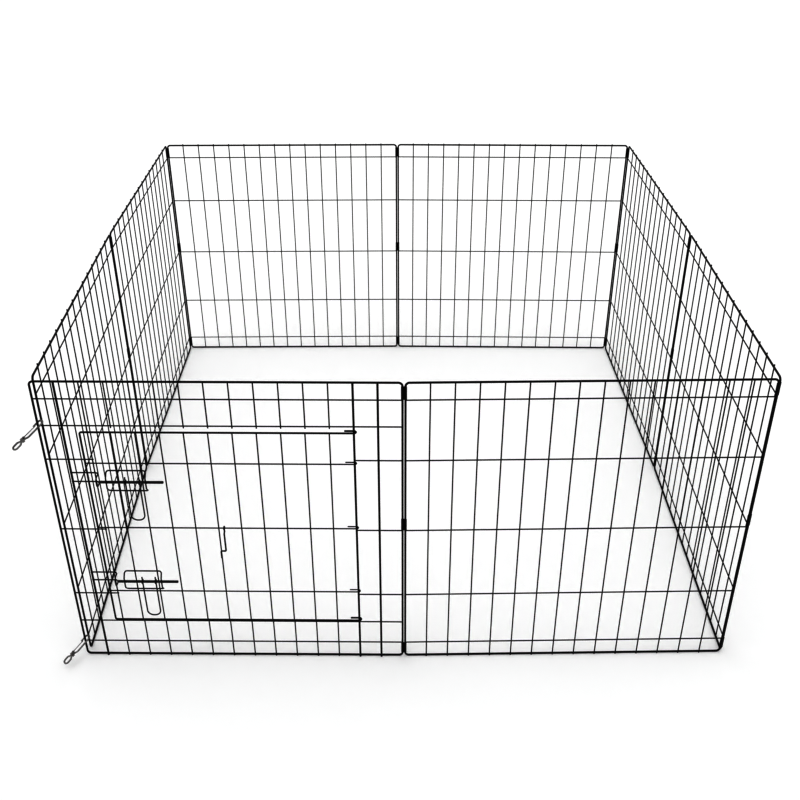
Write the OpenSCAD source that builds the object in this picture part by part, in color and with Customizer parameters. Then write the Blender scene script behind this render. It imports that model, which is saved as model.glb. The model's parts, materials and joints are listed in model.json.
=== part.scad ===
// Folding wire pen for small animals: eight square mesh panels in a chain of
// sleeve clips, a door with two slide bolts, and two snap hooks at the open corner.
// The pen stands on the floor at z = 0, centred on the origin, with its door at the front (-Y).

/* [Panel] */
// Width of a panel between the centres of its end posts
panel_w = 606; // [560:1:660]
// Height of a panel between the centres of its rails
panel_h = 606; // [560:1:660]
// Diameter of the frame wire and of the door posts
frame_d = 3.6; // [3.2:0.1:4.2]
// Diameter of the mesh wire
mesh_d = 2.2; // [1.8:0.1:2.6]
// Bend radius of a frame corner, at the middle of the wire
corner_r = 7; // [5:0.5:9]
// Spaces between uprights across a panel
spaces = 15; // [15:1:15]
// Height of the lowest crosswire above the bottom rail
edge_wire_h = 33; // [33:1:40]
// Rise from the lowest crosswire to the next
outer_step = 120; // [110:1:130]
// Depth that a mesh wire sinks into a frame wire at a weld
weld = 0.8; // [0.4:0.1:1]
// Depth that an upright sinks into a crosswire at a weld
cross_weld = 0.2; // [0.1:0.05:0.4]
// Length of an upright above the middle of the top rail
upright_nub = 2.6; // [2:0.1:4]

/* [Clips] */
// Distance between the two wires that a clip joins
clip_pitch = 4.9; // [4.9:0.1:6]
// Height of a clip
clip_h = 24; // [16:0.5:24]
// Thickness of the clip's sheet
clip_sheet = 0.6; // [0.4:0.05:0.6]
// Radial running clearance of a wire in its eye
running = 0.05; // [0.02:0.01:0.1]
// Clear gap between pieces that pass each other
gap = 0.3; // [0.3:0.05:0.5]
// Outward turn at the clips in the middle of a side
side_turn = 1.5; // [0.5:0.5:2]
// Outward turn in the middle of the left side
left_turn = 2; // [1.5:0.5:3]
// Turn at the front right corner
front_corner = 89; // [88.5:0.5:89.5]
// Turn at the back right corner
right_corner = 87.5; // [87:0.5:88]
// Turn at the back left corner
back_corner = 89.5; // [89:0.5:90]

/* [Door] */
// Height of the doorway's sill and drop of its header, from the rails
doorway_edge = 85; // [70:1:90]
// Gap in height between the doorway's edge and the door's rail
door_reveal = 9; // [7:0.5:12]
// Diameter of the door's frame wire
door_d = 3.2; // [2.8:0.1:3.6]
// Height of the door's lowest middle wire above the bottom rail
door_wire_low = 164; // [155:1:175]
// Rise of the door's central wire above half the panel's height
door_wire_rise = 8; // [0:1:12]
// Distance of the door's highest middle wire below the top rail
door_wire_drop = 157; // [150:1:165]
// Distance of the door's left stile from the panel's left post
door_left = 69; // [64:1:72]
// Bend radius of the door's left corners
door_corner_r = 3.5; // [3:0.5:8]
// Length of the tail of a door wire behind its eye
eye_tail = 16; // [10:1:20]

/* [Latches] */
// Height of the lower slide bolt above the bottom rail
bolt_low = 194; // [190:1:200]
// Distance of the upper slide bolt below the top rail
bolt_drop = 190; // [185:1:195]
// Diameter of a slide bolt
bolt_d = 4.8; // [4:0.2:5.2]
// Length of a slide bolt
bolt_l = 111; // [100:1:115]
// Distance of a drawn bolt's end from the keeper
bolt_clear = 1; // [0.6:0.1:2]
// Diameter of the wire of cages, keepers and pulls
latch_d = 2.4; // [2:0.1:2.6]
// Clear room around a bolt in its bows
bolt_room = 0.8; // [0.5:0.05:1]
// Distance of a keeper's bow from the panel's left post
keeper_reach = 86; // [84:0.5:90]
// Height of a keeper
keeper_h = 18.5; // [16:0.5:22]
// Distance from a keeper's bow to the cage beside it
cage_gap = 17; // [14:0.5:20]
// Length of a cage
cage_l = 67; // [64:0.5:70]
// Height of a cage
cage_h = 42; // [36:1:46]
// Distance of a pull's first leg from the bolt's left end
pull_at = 46; // [44:0.5:47]
// Width of a pull
pull_w = 24; // [20:0.5:26]
// Length of a pull below its bolt
pull_l = 81; // [60:1:90]
// Length of a pull's ends above its bolt
pull_stub = 10; // [8:0.5:12]

/* [Hook] */
// Diameter of the door hook's wire
hook_d = 2.8; // [2.4:0.1:3]
// Length of the door hook below its wire
hook_l = 64; // [56:1:70]
// Distance of the hook from the upright beside it
hook_aside = 9; // [7:0.5:11]
// Radius of the hook's bends
hook_bend = 2.3; // [1.8:0.1:2.3]

/* [Snap hooks] */
// Diameter of a snap hook's wire
snap_d = 3; // [2.6:0.1:3.2]
// Half width of a snap hook between its wires
snap_half = 5; // [4.8:0.1:5.4]
// Reach of the hook's bend behind the post
snap_back = 9.5; // [9:0.1:10]
// Distance from the post to the collar
snap_neck = 33; // [30:0.5:46]
// Length of the collar
snap_collar = 4; // [3.5:0.1:5]
// Distance from the collar to the far end of the eye
snap_eye = 18; // [16:0.5:24]
// Diameter of the spring gate's wire
gate_d = 1.6; // [1.4:0.1:1.8]
// Diameter of the gate's pivot pin
gate_pin_d = 1.8; // [1.6:0.1:2]
// Compass angle that a snap hook points along
snap_heading = 229; // [225:1:233]
// Angle that a snap hook hangs below level
snap_dip = 26; // [24:1:27]

/* [Hidden] */
$fn = 32;
frame_r = frame_d / 2;
mesh_r = mesh_d / 2;
door_r = door_d / 2;
bolt_r = bolt_d / 2;
latch_r = latch_d / 2;
hook_r = hook_d / 2;
snap_r = snap_d / 2;
gate_r = gate_d / 2;
pitch = panel_w / spaces;
top_step = edge_wire_h + outer_step;
wire_heights = [edge_wire_h, top_step, panel_h / 2, panel_h - top_step, panel_h - edge_wire_h];
joint_turns = [side_turn, front_corner, side_turn, right_corner, side_turn, back_corner, left_turn];
pen_half = panel_w + clip_pitch / 2;
pen_front = pen_half + clip_pitch * sin(45);

// Panels in the order of the chain, and the clips between them
PANELS = ["front_left", "front_right", "right_front", "right_back",
          "back_right", "back_left", "left_back", "left_front"];
CLIPS = ["front_mid", "front_right_corner", "right_mid", "back_right_corner",
         "back_mid", "back_left_corner", "left_mid"];
LEVELS = ["lower", "upper"];

// Places across the door panel, as counts of uprights
latch_post = 1;
jamb = 2;
hinge_post = 13;
side_post = 14;

// Depths in a panel, negative towards its outer face
upright_y = -(mesh_d - cross_weld);
post_y = -(mesh_r + frame_r - cross_weld);
post_eye_r = frame_r + running;
door_rail_y = post_y - post_eye_r - door_r;
door_wire_y = post_y - post_eye_r - mesh_r;
door_upright_y = door_wire_y - mesh_d + cross_weld;
cage_y = door_upright_y - mesh_r - latch_r + cross_weld;
bolt_y = door_upright_y - mesh_r - bolt_r - running - latch_d - 0.8;
bow_y = bolt_y - bolt_r - bolt_room - latch_r;
keeper_y = post_y + frame_r + latch_r - cross_weld;

cage_left = keeper_reach + cage_gap;
door_low = doorway_edge + door_reveal;
door_high = panel_h - door_low;
door_wires = [door_wire_low, panel_h / 2 + door_wire_rise, panel_h - door_wire_drop];
bolt_heights = [bolt_low, panel_h - bolt_drop];
bolt_start = keeper_reach + latch_r + bolt_clear;
snap_seats = [edge_wire_h, panel_h - doorway_edge];
snap_rise = (snap_r + mesh_r + gap) / cos(snap_dip) - 2;
gate_pin_r = gate_pin_d / 2;
gate_ring_r = gate_pin_r + running + 1.15;
gate_ring_h = 1.8;
gate_x = snap_neck - gate_ring_r - 0.2;
gate_y = -(snap_half - gate_r - 0.8);
nose_x = 7;
gate_end_x = 4;
neck_half = 1.7;
neck_run = 6;
eye_run = 4;
neck_end = 0.5;
cheek_t = 1.1;

function unit(v) = v / norm(v);
function compass(angle) = [cos(angle), sin(angle)];
function heading(k) = k == 0 ? 0 : heading(k - 1) + joint_turns[k - 1];
function panel_start(k) = k == 0 ? [-pen_half, -pen_front] : panel_end(k - 1)
    + clip_pitch * compass(heading(k - 1) + joint_turns[k - 1] / 2);
function panel_end(k) = panel_start(k) + panel_w * compass(heading(k));

// A direction square to another one
function square_to(v) = unit(cross(v, abs(v.z) < 0.9 ? [0, 0, 1] : [1, 0, 0]));

// Place children with their axes along x, y and z at a point
module frame_at(point, x, y, z) {
    multmatrix([[x.x, y.x, z.x, point.x], [x.y, y.y, z.y, point.y], [x.z, y.z, z.z, point.z]])
        children();
}

// Straight round wire between two points
module rod(from, to, d) {
    z = unit(to - from);
    x = square_to(z);
    frame_at(from, x, cross(z, x), z)
        cylinder(d = d, h = norm(to - from));
}

// Round wire along a list of points, bent to one radius at each of them
module bent_wire(points, d, bend) {
    n = len(points);
    along = [for (i = [0 : n - 2]) unit(points[i + 1] - points[i])];
    turn = [for (i = [0 : n - 1]) i == 0 || i == n - 1 ? 0 : acos(along[i - 1] * along[i])];
    cut = [for (t = turn) bend * tan(t / 2)];
    legs = [for (i = [0 : n - 2]) norm(points[i + 1] - points[i]) - cut[i] - cut[i + 1]];
    into = [for (i = [1 : n - 2]) unit(along[i] - (along[i] * along[i - 1]) * along[i - 1])];
    out = [for (i = [1 : n - 2]) cos(turn[i]) * into[i - 1] - sin(turn[i]) * along[i - 1]];
    roll = [for (i = [1 : n - 2])
        i == 1 ? 0 : atan2(cross(out[i - 2], into[i - 1]) * along[i - 1], out[i - 2] * into[i - 1])];
    frame_at(points[0], into[0], cross(along[0], into[0]), along[0])
        wire_leg(0, legs, turn, roll, d, bend);
}

// One straight leg of a bent wire, with the bend after it and the legs that follow
module wire_leg(i, legs, turn, roll, d, bend) {
    if (legs[i] > 0.01)
        cylinder(d = d, h = legs[i]);
    if (i < len(legs) - 1)
        translate([0, 0, legs[i]])
            rotate(roll[i])
                translate([bend, 0, 0]) {
                    frame_at([0, 0, 0], [-1, 0, 0], [0, 0, 1], [0, 1, 0])
                        rotate_extrude(angle = turn[i + 1])
                            translate([bend, 0])
                                circle(d = d);
                    rotate([0, turn[i + 1], 0])
                        translate([-bend, 0, 0])
                            wire_leg(i + 1, legs, turn, roll, d, bend);
                }
}

// Carry children from a panel's own frame to its place in the pen
module on_panel(k) {
    translate([panel_start(k).x, panel_start(k).y, frame_r])
        rotate(heading(k))
            children();
}

module wire_colour() {
    color([0.05, 0.05, 0.055])
        children();
}

module zinc_colour() {
    color([0.6, 0.6, 0.62])
        children();
}

// Frame of a panel: one wire bent into a square loop
module panel_frame(k) {
    middle = [panel_w / 2, 0, 0];
    wire_colour()
        on_panel(k)
            bent_wire([middle, [panel_w, 0, 0], [panel_w, 0, panel_h], [0, 0, panel_h], [0, 0, 0], middle],
                      frame_d, corner_r);
}

// One upright at a count of spaces, between two heights
module upright(i, low, high, y, d) {
    rod([i * pitch, y, low], [i * pitch, y, high], d);
}

// Uprights of a panel; those of the door panel stop at the doorway
module panel_uprights(k) {
    foot = -frame_r + 0.4;
    head = panel_h + upright_nub;
    wire_colour()
        on_panel(k)
            for (i = [1 : spaces - 1]) {
                in_doorway = k == 0 && i > jamb && i < hinge_post;
                thick = k == 0 && (i == latch_post || i == hinge_post || i == side_post);
                if (in_doorway) {
                    upright(i, foot, doorway_edge + upright_nub, upright_y, mesh_d);
                    upright(i, panel_h - doorway_edge - upright_nub, head, upright_y, mesh_d);
                } else if (!thick) {
                    upright(i, foot, head, upright_y, mesh_d);
                }
            }
}

// Thick posts of the door panel: latch post, hinge post and the post beside it
module front_left_door_posts() {
    wire_colour()
        on_panel(0)
            for (i = [latch_post, hinge_post, side_post])
                upright(i, -frame_r + 0.4, panel_h + upright_nub, post_y, frame_d);
}

// One crosswire at a height, between two places along a panel
module crosswire(from, to, height) {
    rod([from, 0, height], [to, 0, height], mesh_d);
}

// Crosswires of a panel; those of the door panel leave the doorway free
module panel_crosswires(k) {
    left = frame_r - weld;
    right = panel_w - frame_r + weld;
    whole = k == 0
        ? [edge_wire_h, doorway_edge, panel_h - doorway_edge, panel_h - edge_wire_h]
        : wire_heights;
    wire_colour()
        on_panel(k) {
            for (height = whole)
                crosswire(left, right, height);
            if (k == 0)
                for (i = [1 : 3]) {
                    crosswire(left, jamb * pitch + mesh_r, wire_heights[i]);
                    crosswire(hinge_post * pitch - mesh_r, right, wire_heights[i]);
                }
        }
}

// Sleeve clips of one joint: folded sheet with an eye for each of the two wires
module joint_clips(k) {
    eye_r = frame_r + running;
    outer_r = eye_r + clip_sheet;
    foot = edge_wire_h - mesh_r - gap - clip_h;
    lows = [foot, panel_h / 2 + mesh_r + gap, panel_h - edge_wire_h + mesh_r + gap];
    wire_colour()
        translate([panel_end(k).x, panel_end(k).y, frame_r])
            rotate(heading(k) + joint_turns[k] / 2)
                for (low = lows)
                    translate([0, 0, low])
                        linear_extrude(clip_h)
                            difference() {
                                union() {
                                    circle(outer_r);
                                    translate([clip_pitch, 0])
                                        circle(outer_r);
                                    translate([clip_pitch / 2, 0])
                                        square([clip_pitch, outer_r], center = true);
                                }
                                circle(eye_r);
                                translate([clip_pitch, 0])
                                    circle(eye_r);
                            }
}

// Points of a wire that ends in an eye round the hinge post, its tail laid back behind the wire
function eye_end(y, r, height) = let (x = hinge_post * pitch, e = post_eye_r + r) [
    [x + e, y, height],
    [x + e, post_y + e, height],
    [x - eye_tail, post_y + e, height]
];

// Frame of the door: one wire from eye to eye by way of the left stile
module door_frame() {
    top = eye_end(door_rail_y, door_r, door_high);
    bottom = eye_end(door_rail_y, door_r, door_low);
    eye_bend = post_eye_r + door_r - 0.05;
    middle = (door_left + hinge_post * pitch) / 2;
    stile = [[middle, door_rail_y, door_high], [door_left, door_rail_y, door_high],
             [door_left, door_rail_y, door_low], [middle, door_rail_y, door_low]];
    wire_colour()
        on_panel(0)
            union() {
                bent_wire(stile, door_d, door_corner_r);
                bent_wire([stile[0], each top], door_d, eye_bend);
                bent_wire([stile[3], each bottom], door_d, eye_bend);
            }
}

// Middle wires of the door, each with its own eye
module door_crosswires() {
    start = door_left + door_r - weld;
    wire_colour()
        on_panel(0)
            for (height = door_wires)
                bent_wire([[start, door_wire_y, height], each eye_end(door_wire_y, mesh_r, height)],
                          mesh_d, post_eye_r + mesh_r - 0.05);
}

// Uprights of the door
module door_uprights() {
    wire_colour()
        on_panel(0)
            for (i = [jamb + 1 : hinge_post - 1])
                upright(i, door_low - door_r, door_high + door_r, door_upright_y, mesh_d);
}

// Keeper: hairpin behind the latch post, with a bow that reaches out through the door
module keeper(height) {
    start = latch_post * pitch - latch_d - 0.6;
    high = height + keeper_h / 2;
    low = height - keeper_h / 2;
    wire_colour()
        on_panel(0)
            bent_wire([[start, keeper_y, high], [keeper_reach, keeper_y, high], [keeper_reach, bow_y, high],
                       [keeper_reach, bow_y, low], [keeper_reach, keeper_y, low], [start, keeper_y, low]],
                      latch_d, keeper_h / 3);
}

// Cage: wire loop on the door with a bow at each end for the bolt, its ends butted in the top rail
module cage(height) {
    right = cage_left + cage_l;
    middle = cage_left + cage_l / 2;
    edge = cage_h / 2;
    bow = cage_h / 4;
    wire_colour()
        on_panel(0)
            translate([0, 0, height])
                bent_wire([[middle + 0.05, cage_y, edge], [right, cage_y, edge],
                           [right, bow_y, bow], [right, bow_y, -bow],
                           [right, cage_y, -edge], [cage_left, cage_y, -edge],
                           [cage_left, bow_y, -bow], [cage_left, bow_y, bow],
                           [cage_left, cage_y, edge], [middle - 0.05, cage_y, edge]],
                          latch_d, cage_h / 9);
}

// Slide bolt: round rod with bevelled ends, drawn clear of its keeper
module bolt(height) {
    bevel = bolt_r / 3;
    wire_colour()
        on_panel(0)
            translate([bolt_start, bolt_y, height])
                rotate([0, 90, 0])
                    rotate_extrude()
                        polygon([[0, 0], [bolt_r - bevel, 0], [bolt_r, bevel], [bolt_r, bolt_l - bevel],
                                 [bolt_r - bevel, bolt_l], [0, bolt_l]]);
}

// Pull: U-shaped wire with two eyes round the bolt, its ends standing above them
module pull(height) {
    ring_r = bolt_r + running + latch_r;
    left = bolt_start + pull_at;
    right = left + pull_w;
    wire_colour()
        on_panel(0)
            translate([0, bolt_y, height]) {
                bent_wire([[left, 0, -ring_r], [left, 0, -pull_l], [right, 0, -pull_l], [right, 0, -ring_r]],
                          latch_d, pull_w / 2 - 1);
                for (x = [left, right]) {
                    translate([x, 0, 0])
                        rotate([0, 90, 0])
                            rotate(45)
                                rotate_extrude()
                                    translate([ring_r, 0])
                                        circle(latch_r);
                    rod([x, 0, ring_r], [x, 0, pull_stub], latch_d);
                }
            }
}

// Door hook: wire hung by a ring from the door's middle wire, its end in front of an upright
module door_hook() {
    ring_r = mesh_r + running + hook_r;
    front = door_upright_y - door_wire_y - mesh_r - hook_r - gap;
    wire_colour()
        on_panel(0)
            translate([7 * pitch + hook_aside, door_wire_y, door_wires[1]]) {
                rotate([0, 90, 0])
                    rotate(45)
                        rotate_extrude()
                            translate([ring_r, 0])
                                circle(hook_r);
                bent_wire([[0, 0, -ring_r], [0, 0, -hook_l / 8], [0, front, -hook_l / 8],
                           [0, front, -hook_l * 0.75], [-hook_aside, front, -hook_l * 0.75],
                           [-hook_aside, front, -hook_l]],
                          hook_d, hook_bend);
            }
}

// Carry children to a snap hook's place: x runs along the hook, away from the post
module on_snap(height) {
    on_panel(0)
        translate([0, 0, height + snap_rise])
            rotate([0, snap_dip, snap_heading - heading(0)])
                children();
}

// Snap hook: one wire from the nose round the post, through the collar and round the eye
module snap_hook(height) {
    eye_end = snap_neck + snap_collar + snap_eye;
    before = snap_neck - 2;
    after = snap_neck + snap_collar + 2;
    zinc_colour()
        on_snap(height)
            bent_wire([[nose_x, -snap_half, 0], [-snap_back, -snap_half, 0], [-snap_back, snap_half, 0],
                       [before - neck_run, snap_half, 0], [before, neck_half, 0], [after, neck_half, 0],
                       [after + eye_run, snap_half, 0], [eye_end, snap_half, 0], [eye_end, -snap_half, 0],
                       [after + eye_run, -snap_half, 0], [after, -neck_half, 0],
                       [snap_neck + neck_end, -neck_half, 0]],
                      snap_d, snap_half - 0.1);
}

// Collar: band crimped on the neck, with a cheek and a pin for the gate
module snap_collar(height) {
    half = neck_half + snap_r + 0.7;
    thick = snap_r + 0.7;
    cheek_x = gate_x - gate_ring_r;
    zinc_colour()
        on_snap(height)
            difference() {
                union() {
                    translate([snap_neck, -half, -thick])
                        cube([snap_collar, 2 * half, 2 * thick]);
                    translate([cheek_x, gate_y - gate_ring_r, -gate_ring_h / 2 - 0.2 - cheek_t])
                        cube([snap_neck - cheek_x + 1, gate_ring_r * 2, cheek_t]);
                    translate([gate_x, gate_y, -gate_ring_h / 2 - 0.2 - cheek_t])
                        cylinder(r = gate_pin_r, h = gate_ring_h + 0.6 + cheek_t);
                }
                for (y = [-neck_half, neck_half])
                    translate([snap_neck - 1, y, 0])
                        rotate([0, 90, 0])
                            cylinder(r = snap_r, h = snap_collar + 2);
            }
}

// Gate: straight spring wire from its pivot ring to the inside of the nose
module snap_gate(height) {
    end_y = -(snap_half - snap_r - gate_r - 0.2);
    zinc_colour()
        on_snap(height)
            difference() {
                union() {
                    translate([gate_x, gate_y, -gate_ring_h / 2])
                        cylinder(r = gate_ring_r, h = gate_ring_h);
                    rod([gate_x - gate_ring_r / 2, gate_y, 0], [gate_end_x, end_y, 0], gate_d);
                }
                translate([gate_x, gate_y, -gate_ring_h])
                    cylinder(r = gate_pin_r + running, h = 2 * gate_ring_h);
            }
}

for (k = [0 : len(PANELS) - 1]) {
    panel_frame(k);
    panel_uprights(k);
    panel_crosswires(k);
}
for (k = [0 : len(CLIPS) - 1])
    joint_clips(k);
front_left_door_posts();
door_frame();
door_crosswires();
door_uprights();
door_hook();
for (i = [0 : 1]) {
    keeper(bolt_heights[i]);
    cage(bolt_heights[i]);
    bolt(bolt_heights[i]);
    pull(bolt_heights[i]);
    snap_hook(snap_seats[i]);
    snap_collar(snap_seats[i]);
    snap_gate(snap_seats[i]);
}
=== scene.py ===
"""Looks of a folding wire pet playpen: black coated wire, weld beads, rubbed bolts and plated snap hooks."""
import json
import math

import bpy
import numpy as np
from mathutils import Matrix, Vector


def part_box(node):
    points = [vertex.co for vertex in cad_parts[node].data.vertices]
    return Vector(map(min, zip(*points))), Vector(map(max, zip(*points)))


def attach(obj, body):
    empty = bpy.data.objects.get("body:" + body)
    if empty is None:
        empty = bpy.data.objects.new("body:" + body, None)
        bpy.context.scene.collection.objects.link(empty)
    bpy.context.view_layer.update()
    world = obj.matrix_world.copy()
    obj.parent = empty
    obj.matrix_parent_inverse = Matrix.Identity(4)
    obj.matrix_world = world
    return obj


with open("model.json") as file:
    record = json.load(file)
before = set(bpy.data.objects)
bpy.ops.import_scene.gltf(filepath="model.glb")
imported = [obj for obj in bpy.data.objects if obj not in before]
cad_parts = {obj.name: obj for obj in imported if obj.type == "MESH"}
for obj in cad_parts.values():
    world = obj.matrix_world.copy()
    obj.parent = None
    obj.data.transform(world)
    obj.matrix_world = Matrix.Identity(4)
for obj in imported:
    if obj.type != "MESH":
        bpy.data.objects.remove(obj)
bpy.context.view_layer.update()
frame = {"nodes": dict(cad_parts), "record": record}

# Sizes of the pen in metres and turns of its joints in degrees, as in the part's source
PANEL_W = 0.606
PANEL_H = 0.606
CLIP_PITCH = 0.0049
FRAME_D = 0.0036
MESH_D = 0.0022
SPACES = 15
CROSS_WELD = 0.0002
EDGE_WIRE = 0.033
SECOND_WIRE = 0.153
DOORWAY_EDGE = 0.085
JOINT_TURNS = [1.5, 89, 1.5, 87.5, 1.5, 89.5, 2.0]
PANELS = ["front_left", "front_right", "right_front", "right_back",
          "back_right", "back_left", "left_back", "left_front"]
THICK_POSTS = [1, 13, 14]
DOOR_COLUMNS = np.arange(3, 13)
DOOR_D = 0.0032
DOOR_EDGE = 0.094
DOOR_WIRES = [0.164, 0.311, 0.449]
DOOR_WIRE_OUT = 0.00565
DOOR_RAIL_OUT = 0.00615

# Half sizes of the weld beads along, up and out, and how far a rail's bead sinks into it
WIRE_BEAD = (0.0011, 0.0011, 0.0008)
RAIL_BEAD = (0.0011, 0.0013, 0.0009)
BEAD_SINK = 0.0003
# Angle left open at the poles of a bead, closed by a flat cap
POLE_GAP = 0.04

# The photograph's camera, from a fit to the corners of the pen
FOCAL_PX = 1022.8
HALF_IMAGE_PX = 400
CAMERA_AT = (0.0096, -2.0339, 1.4443)
CAMERA_PITCH, CAMERA_YAW, CAMERA_ROLL = 31.43, 0.65, 0.11
CLIP_END = 100

# The studio: strength of its white surround; strength, spread and tilt in degrees of its soft key light
SURROUND = 1.0
KEY = 0.5
KEY_SPREAD = 70
KEY_TILT = (22, -16, 0)
FLOOR_REACH = 30.0
# Display gamma that keeps thin dark wires as dark as in the photograph
DISPLAY_GAMMA = 0.52

# Colours
WHITE = (1, 1, 1, 1)
PALE = (0.93, 0.93, 0.93, 1)
BLACK = (0.004, 0.004, 0.0044, 1)
CLIP_BLACK = (0.0035, 0.0035, 0.0039, 1)
LATCH_BLACK = (0.005, 0.005, 0.0055, 1)
GREY_SCUFF = (0.04, 0.04, 0.041, 1)
GREY_RUB = (0.06, 0.06, 0.061, 1)
PLATING = (0.24, 0.237, 0.233, 1)
TARNISH = (0.12, 0.118, 0.115, 1)
PIT = (0.05, 0.049, 0.047, 1)
DUST_LIFT = 1.6

# Scales of the patterns in the finishes, in lumps per metre
DUST_CLOUDS = 9.0
SCUFF_PATCHES = 28.0
TARNISH_CLOUDS = 120.0
SCUFF_GRIT = 420.0
PITS = 800.0
ORANGE_PEEL = 1400.0
BOLT_GRAIN = 1500.0
DRAWN_LINES = 2200.0
BOLT_STREAKS = (60.0, 900.0, 900.0)

# Depths of the bumps in the skin of coated wire and of metal, in metres
PEEL_DEPTH = 0.00006
METAL_DEPTH = 0.00005

# Where a bolt is rubbed, in metres from its tip: fading at the tip, then rising and fading in its cage
TIP_FADE = (0.002, 0.020)
CAGE_RISE = (0.060, 0.075)
CAGE_FADE = (0.085, 0.100)


class Socket:
    """A shader value: arithmetic on it adds Math nodes to its tree."""

    def __init__(self, tree, out):
        self.tree = tree
        self.out = out

    def math(self, operation, first, second):
        return add_node(self.tree, "ShaderNodeMath", {"operation": operation}, {0: first, 1: second})

    def __add__(self, other):
        return self.math("ADD", self, other)

    def __sub__(self, other):
        return self.math("SUBTRACT", self, other)

    def __rsub__(self, other):
        return self.math("SUBTRACT", other, self)

    def __mul__(self, other):
        return self.math("MULTIPLY", self, other)

    __radd__ = __add__
    __rmul__ = __mul__


def add_node(tree, kind, settings=(), inputs=(), out=0):
    """One node of any kind: its settings first, then values or links for its sockets."""
    node = tree.nodes.new(kind)
    for name, value in dict(settings).items():
        setattr(node, name, value)
    for name, value in dict(inputs).items():
        if isinstance(value, Socket):
            tree.links.new(value.out, node.inputs[name])
        else:
            node.inputs[name].default_value = value
    return Socket(tree, node.outputs[out])


class Finish:
    """A material with its Principled shader and the patterns that the finishes share."""

    def __init__(self, name, **constants):
        self.material = bpy.data.materials.new(name)
        self.material.use_nodes = True
        self.tree = self.material.node_tree
        self.shader = self.tree.nodes["Principled BSDF"]
        for socket, value in constants.items():
            self.shader.inputs[socket.replace("_", " ")].default_value = value
        self.place = self.node("ShaderNodeTexCoord", out="Object")

    def node(self, kind, settings=(), inputs=(), out=0):
        return add_node(self.tree, kind, settings, inputs, out)

    def noise(self, scale, detail=2.0, roughness=0.5):
        """Soft random field from 0 to 1; scale is in lumps per metre."""
        return self.node("ShaderNodeTexNoise", {}, {
            "Vector": self.place, "Scale": scale, "Detail": detail, "Roughness": roughness})

    def axis(self, name):
        """Place along X, Y or Z in metres."""
        return self.node("ShaderNodeSeparateXYZ", {}, {0: self.place}, name)

    def rise(self, value, low, high):
        """Smooth step of value from 0 at low to 1 at high."""
        return self.node("ShaderNodeMapRange", {"interpolation_type": "SMOOTHSTEP"}, {
            "Value": value, "From Min": low, "From Max": high})

    def mix(self, mask, dark, light):
        """Colour between two colours by a mask."""
        return self.node("ShaderNodeMix", {"data_type": "RGBA"}, {0: mask, 6: dark, 7: light}, 2)

    def feed(self, **links):
        for socket, value in links.items():
            self.tree.links.new(value.out, self.shader.inputs[socket.replace("_", " ")])
        return self.material

    def bump(self, height, distance):
        return self.node("ShaderNodeBump", {}, {"Height": height, "Distance": distance, "Strength": 1.0})


def coated_wire(name, deep, worn, roughness):
    """Black dip coating: an orange-peel skin, dull dusty patches and small scuffs where grey shows."""
    finish = Finish(name, Coat_Roughness=0.3, Specular_IOR_Level=0.1)
    cloud = finish.noise(DUST_CLOUDS, 3.0)
    peel = finish.noise(ORANGE_PEEL)
    grit = finish.noise(SCUFF_GRIT, 4.0, 0.7)
    dust = finish.rise(cloud, 0.42, 0.72)
    scuff = finish.rise(grit, 0.66, 0.74) * finish.rise(finish.noise(SCUFF_PATCHES), 0.5, 0.7)
    dusty = [DUST_LIFT * c for c in deep[:3]] + [1]
    colour = finish.mix(scuff, finish.mix(dust, deep, dusty), worn)
    return finish.feed(
        Base_Color=colour,
        Roughness=roughness + 0.10 * dust + 0.05 * peel + 0.2 * scuff,
        Coat_Weight=0.06 - 0.04 * dust - 0.02 * scuff,
        Normal=finish.bump(peel + 0.5 * grit, PEEL_DEPTH))


def rubbed_bolt(name, node, deep):
    """Coated rod with fine streaks along it, the coating rubbed thin and dull where it runs in its bows."""
    finish = Finish(name, Coat_Roughness=0.25, Specular_IOR_Level=0.25)
    from_tip = finish.axis("X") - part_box(node)[0][0]
    streak = finish.node("ShaderNodeTexNoise", {}, {
        "Vector": finish.node("ShaderNodeMapping", {}, {
            "Vector": finish.place, "Scale": BOLT_STREAKS}),
        "Scale": 1.0, "Detail": 3.0})
    tip = 1 - finish.rise(from_tip, *TIP_FADE)
    middle = finish.rise(from_tip, *CAGE_RISE) * (1 - finish.rise(from_tip, *CAGE_FADE))
    rub = finish.rise(streak + 0.12 * tip + 0.12 * middle, 0.66, 0.86)
    grain = finish.noise(BOLT_GRAIN)
    return finish.feed(
        Base_Color=finish.mix(rub, deep, GREY_RUB),
        Metallic=rub * 0.5,
        Roughness=0.34 - 0.06 * rub + 0.08 * grain,
        Coat_Weight=0.15 - 0.15 * rub,
        Normal=finish.bump(streak + 0.4 * grain, METAL_DEPTH))


def plated_steel(name):
    """Dull plated wire: grey metal with cloudy tarnish, fine drawn lines and dark pits."""
    finish = Finish(name, Metallic=1.0)
    cloud = finish.noise(TARNISH_CLOUDS, 4.0, 0.6)
    drawn = finish.noise(DRAWN_LINES)
    pit = finish.rise(finish.noise(PITS), 0.68, 0.76)
    tarnish = finish.rise(cloud, 0.40, 0.70)
    return finish.feed(
        Base_Color=finish.mix(pit, finish.mix(tarnish, PLATING, TARNISH), PIT),
        Roughness=0.30 + 0.16 * tarnish + 0.06 * drawn + 0.1 * pit,
        Normal=finish.bump(drawn - pit, METAL_DEPTH))


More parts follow.
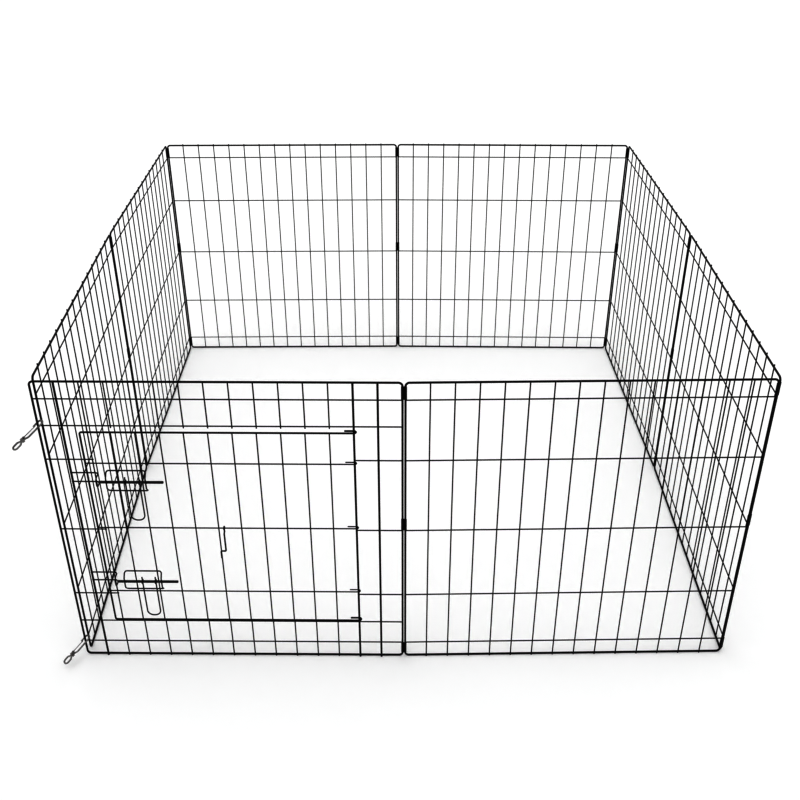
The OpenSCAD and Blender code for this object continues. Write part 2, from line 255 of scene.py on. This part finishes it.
def beads(centres, along, up, out, radii, rings=6, turns=10):
    """Ellipsoids at centres, half lengths radii along the axes along, up and out.

    Point (s, t): centre + sin(s) cos(t) a + sin(s) sin(t) u + cos(s) o, for s from pole to pole
    and t round the circle. Returns the vertices, quads and end caps of all the beads.
    """
    s = np.linspace(POLE_GAP, math.pi - POLE_GAP, rings)[:, None]
    t = np.linspace(0, 2 * math.pi, turns, endpoint=False)[None, :]
    unit = np.stack([np.sin(s) * np.cos(t), np.sin(s) * np.sin(t), np.cos(s) + 0 * t], -1).reshape(-1, 3)
    axes = np.stack([along, up, out]) * np.asarray(radii)[:, None]
    points = centres[:, None, :] + (unit @ axes)[None]
    i, j = np.meshgrid(np.arange(rings - 1), np.arange(turns), indexing="ij")
    ring, after, beside = i * turns, (i + 1) * turns, (j + 1) % turns
    quads = np.stack([ring + j, after + j, after + beside, ring + beside], -1).reshape(-1, 4)
    caps = np.stack([np.arange(turns), (rings - 1) * turns + np.arange(turns)[::-1]])
    first = (np.arange(len(centres)) * rings * turns)[:, None, None]
    return (points.reshape(-1, 3), (quads[None] + first).reshape(-1, 4),
            (caps[None] + first).reshape(-1, turns))


def add_object(name, data):
    """A new object in the scene."""
    obj = bpy.data.objects.new(name, data)
    bpy.context.collection.objects.link(obj)
    return obj


def piece(name, parts, material, body):
    """A mesh piece from lists of (vertices, quads, caps), riding on a body of the frame."""
    start = 0
    points, faces = [], []
    for vertices, quads, caps in parts:
        points.append(vertices)
        faces += (quads + start).tolist() + (caps + start).tolist()
        start += len(vertices)
    mesh = bpy.data.meshes.new(name)
    mesh.from_pydata(np.concatenate(points), [], faces)
    mesh.polygons.foreach_set("use_smooth", np.ones(len(faces), bool))
    mesh.update()
    mesh.materials.append(material)
    obj = add_object(name, mesh)
    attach(obj, body)


def panel_places():
    """Start of each panel's bottom rail and its compass angle, chained through the clips' turns."""
    half = PANEL_W + CLIP_PITCH / 2
    place = np.array([-half, -half - CLIP_PITCH * math.sin(math.pi / 4)])
    angle = 0.0
    places = []
    for turn in JOINT_TURNS + [0]:
        places.append((place, math.radians(angle)))
        along = np.array([math.cos(math.radians(angle)), math.sin(math.radians(angle))])
        middle = math.radians(angle + turn / 2)
        place = place + PANEL_W * along + CLIP_PITCH * np.array([math.cos(middle), math.sin(middle)])
        angle += turn
    return places


def weld_grid(columns, heights):
    """Every pair of a column's distance along the panel and a height, as two flat arrays."""
    u, z = np.meshgrid(np.asarray(columns), np.asarray(heights), indexing="ij")
    return u.ravel(), z.ravel()


def weld_parts(place, angle, columns, rows):
    """Beads at every column and height on a panel.

    Each row gives heights, the beads' half sizes and how far out they sit from the panel's middle.
    """
    along = np.array([math.cos(angle), math.sin(angle), 0])
    outward = np.array([math.sin(angle), -math.cos(angle), 0])
    up = np.array([0, 0, 1.0])
    start = np.array([place[0], place[1], FRAME_D / 2])
    parts = []
    for heights, size, out in rows:
        u, z = weld_grid(columns * (PANEL_W / SPACES), heights)
        centres = start + u[:, None] * along + z[:, None] * up + out * outward
        parts.append(beads(centres, along, up, outward, size))
    return parts


def panel_welds(k, place, angle, material):
    """Small beads where the uprights of a panel are welded to its rails and crosswires."""
    columns = np.arange(1, SPACES)
    wires = [EDGE_WIRE, SECOND_WIRE, PANEL_H / 2, PANEL_H - SECOND_WIRE, PANEL_H - EDGE_WIRE]
    if k == 0:
        wires = [EDGE_WIRE, DOORWAY_EDGE, PANEL_H - DOORWAY_EDGE, PANEL_H - EDGE_WIRE]
        columns = np.setdiff1d(columns, THICK_POSTS)
    parts = weld_parts(place, angle, columns, [
        (wires, WIRE_BEAD, MESH_D / 2 - CROSS_WELD / 2),
        ([0, PANEL_H], RAIL_BEAD, FRAME_D / 2 - BEAD_SINK)])
    piece(f"{PANELS[k]}_welds", parts, material, f"{PANELS[k]}_panel")


def door_welds(place, angle, material):
    """Small beads where the door's uprights are welded to its rails and middle wires."""
    parts = weld_parts(place, angle, DOOR_COLUMNS, [
        (DOOR_WIRES, WIRE_BEAD, DOOR_WIRE_OUT + MESH_D / 2 - CROSS_WELD / 2),
        ([DOOR_EDGE, PANEL_H - DOOR_EDGE], RAIL_BEAD, DOOR_RAIL_OUT + DOOR_D / 2 - BEAD_SINK)])
    piece("door_welds", parts, material, "door")


def studio():
    """Pale floor, white surround and one large soft light from the front left."""
    signs = [(-1, -1, 0), (1, -1, 0), (1, 1, 0), (-1, 1, 0)]
    mesh = bpy.data.meshes.new("floor")
    mesh.from_pydata(FLOOR_REACH * np.array(signs), [], [(0, 1, 2, 3)])
    mesh.materials.append(Finish("pale_floor", Roughness=0.9, Base_Color=PALE).material)
    floor = add_object("floor", mesh)
    world = bpy.data.worlds.new("studio")
    world.use_nodes = True
    surround = world.node_tree.nodes["Background"].inputs
    surround["Color"].default_value = WHITE
    surround["Strength"].default_value = SURROUND
    bpy.context.scene.world = world
    light = bpy.data.lights.new("soft_key", "SUN")
    light.angle = math.radians(KEY_SPREAD)
    light.energy = KEY
    lamp = add_object("soft_key", light)
    lamp.rotation_euler = [math.radians(tilt) for tilt in KEY_TILT]
    bpy.context.scene.view_settings.view_transform = "Standard"
    bpy.context.scene.view_settings.gamma = DISPLAY_GAMMA


def photo_camera():
    """Camera at the photograph's place: turned to look along +Y, then rolled, pitched down and yawed."""
    data = bpy.data.cameras.new("camera")
    data.angle = 2 * math.atan(HALF_IMAGE_PX / FOCAL_PX)
    data.clip_end = CLIP_END
    camera = add_object("camera", data)
    camera.matrix_world = (
        Matrix.Translation(CAMERA_AT)
        @ Matrix.Rotation(math.radians(CAMERA_YAW), 4, "Z")
        @ Matrix.Rotation(math.radians(-CAMERA_PITCH), 4, "X")
        @ Matrix.Rotation(math.radians(CAMERA_ROLL), 4, "Y")
        @ Matrix.Rotation(math.pi / 2, 4, "X"))
    bpy.context.scene.camera = camera


finishes = {
    "panel_wire": coated_wire("coated_panel_wire", BLACK, GREY_SCUFF, 0.36),
    "clip_sheet": coated_wire("coated_clip_sheet", CLIP_BLACK, GREY_SCUFF, 0.40),
    "door_wire": coated_wire("coated_door_wire", BLACK, GREY_SCUFF, 0.33),
    "latch_wire": coated_wire("coated_latch_wire", LATCH_BLACK, GREY_RUB, 0.30),
    "snap_steel": plated_steel("plated_snap_steel"),
}
for entry in frame["record"]["subparts"]:
    node = frame["nodes"][entry["node"]]
    node.data.materials.clear()
    if entry["material_slot"] == "bolt_steel":
        node.data.materials.append(rubbed_bolt(f"rubbed_{entry['node']}", entry["node"], BLACK))
    else:
        node.data.materials.append(finishes[entry["material_slot"]])

places = panel_places()
for k, (place, angle) in enumerate(places):
    panel_welds(k, place, angle, finishes["panel_wire"])
door_welds(*places[0], finishes["door_wire"])

studio()
photo_camera()
